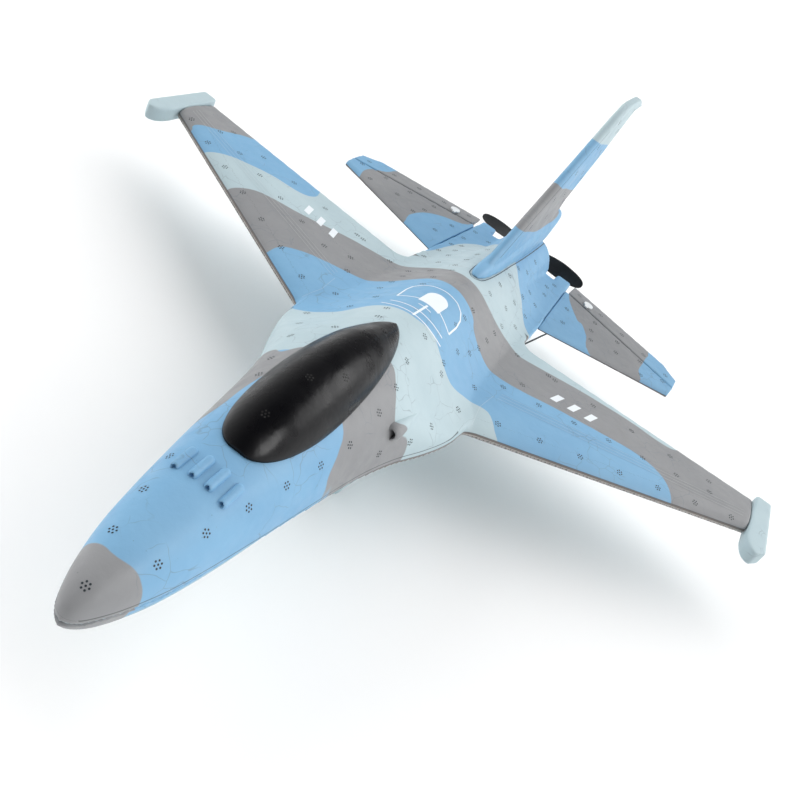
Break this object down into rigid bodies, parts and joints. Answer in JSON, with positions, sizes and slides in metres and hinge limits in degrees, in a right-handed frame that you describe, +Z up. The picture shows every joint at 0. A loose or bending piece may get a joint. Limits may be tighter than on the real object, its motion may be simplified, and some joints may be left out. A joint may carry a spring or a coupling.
{
  "type": "rc foam airplane",
  "caption": "Foam radio-controlled jet with blue, pale and grey camouflage, black lift-off canopy, rear pusher propeller and hinged elevators moved by servo pushrods.",
  "frame": {"origin": "middle of the bounding box at belly level, on the flat belly that the model lies on", "axes": "+Z up, nose towards -Y, left wing towards +X"},
  "size_m": [0.452, 0.559, 0.1745],
  "materials": {
    "foam_sky": "painted moulded foam, satin",
    "foam_ice": "painted moulded foam, satin",
    "foam_grey": "painted moulded foam, satin",
    "foam_black": "glossy black painted foam",
    "plastic_black": "moulded",
    "plastic_white": "moulded",
    "steel": "plain",
    "carbon": "pultruded carbon fibre",
    "battery_wrap": "heat-shrink film",
    "circuit_board": "solder mask",
    "cable": "soft insulation",
    "foam_pad": "soft sponge strip"
  },
  "bodies": {
    "airframe": {"upper_fuselage_and_wing": "foam_sky", "lower_fuselage": "foam_ice", "fin": "foam_grey", "wing_spar": "carbon", "motor": "steel", "motor_mount": "plastic_black", "battery": "battery_wrap", "battery_pad": "foam_pad", "battery_plug": "plastic_white", "battery_cable": "cable", "board_cable": "cable", "flight_controller": "circuit_board", "motor_cable": "cable", "fuselage_magnet_front": "steel", "fuselage_magnet_rear": "steel", "tip_rail_left": "foam_ice", "stabiliser_left": "foam_grey", "servo_left": "plastic_black", "servo_cable_left": "cable", "motor_screw_left": "steel", "servo_screw_left_front": "steel", "servo_screw_left_rear": "steel", "tip_rail_right": "foam_ice", "stabiliser_right": "foam_grey", "servo_right": "plastic_black", "servo_cable_right": "cable", "motor_screw_right": "steel", "servo_screw_right_front": "steel", "servo_screw_right_rear": "steel"},
    "canopy": {"canopy": "foam_black", "canopy_magnet_front": "steel", "canopy_magnet_rear": "steel"},
    "propeller": {"propeller": "plastic_black", "motor_shaft": "steel", "propeller_nut": "steel"},
    "elevator_left": {"elevator_left": "foam_grey", "elevator_horn_left": "plastic_white", "horn_plate_left": "plastic_white"},
    "servo_arm_left": {"servo_arm_left": "plastic_white", "servo_arm_screw_left": "steel"},
    "pushrod_left": {"pushrod_left": "steel"},
    "elevator_right": {"elevator_right": "foam_grey", "elevator_horn_right": "plastic_white", "horn_plate_right": "plastic_white"},
    "servo_arm_right": {"servo_arm_right": "plastic_white", "servo_arm_screw_right": "steel"},
    "pushrod_right": {"pushrod_right": "steel"}
  },
  "joints": [
    {"name": "canopy_lift", "type": "slide", "parent": "airframe", "child": "canopy", "axis": [0, 0, 1], "range_m": [0, 0.08]},
    {"name": "propeller_spin", "type": "hinge", "parent": "airframe", "child": "propeller", "pos_m": [0, 0.2315, 0.0475], "axis": [0, 1, 0], "continuous": true},
    {"name": "servo_arm_left_turn", "type": "hinge", "parent": "airframe", "child": "servo_arm_left", "pos_m": [0.0301, 0.0815, 0.042], "axis": [0.9881, -0.1433, -0.0566], "range_deg": [-22, 22]},
    {"name": "pushrod_left_pivot", "type": "hinge", "parent": "servo_arm_left", "child": "pushrod_left", "pos_m": [0.02923, 0.08163, 0.02652], "axis": [0.9881, -0.1433, -0.0566], "range_deg": [-22, 22]},
    {"name": "elevator_left_hinge", "type": "hinge", "parent": "airframe", "child": "elevator_left", "pos_m": [0.0426, 0.1951, 0.04911], "axis": [0.9881, -0.1433, -0.0566], "range_deg": [-22, 22]},
    {"name": "servo_arm_right_turn", "type": "hinge", "parent": "airframe", "child": "servo_arm_right", "pos_m": [-0.0301, 0.0815, 0.042], "axis": [0.9881, 0.1433, 0.0566], "range_deg": [-22, 22]},
    {"name": "pushrod_right_pivot", "type": "hinge", "parent": "servo_arm_right", "child": "pushrod_right", "pos_m": [-0.02923, 0.08163, 0.02652], "axis": [0.9881, 0.1433, 0.0566], "range_deg": [-22, 22]},
    {"name": "elevator_right_hinge", "type": "hinge", "parent": "airframe", "child": "elevator_right", "pos_m": [-0.0426, 0.1951, 0.04911], "axis": [0.9881, 0.1433, 0.0566], "range_deg": [-22, 22]}
  ],
  "couplings": [
    {"joint": "pushrod_left_pivot", "follows": "servo_arm_left_turn", "ratio": -1},
    {"joint": "elevator_left_hinge", "follows": "servo_arm_left_turn", "ratio": 1},
    {"joint": "pushrod_right_pivot", "follows": "servo_arm_right_turn", "ratio": -1},
    {"joint": "elevator_right_hinge", "follows": "servo_arm_right_turn", "ratio": 1}
  ]
}
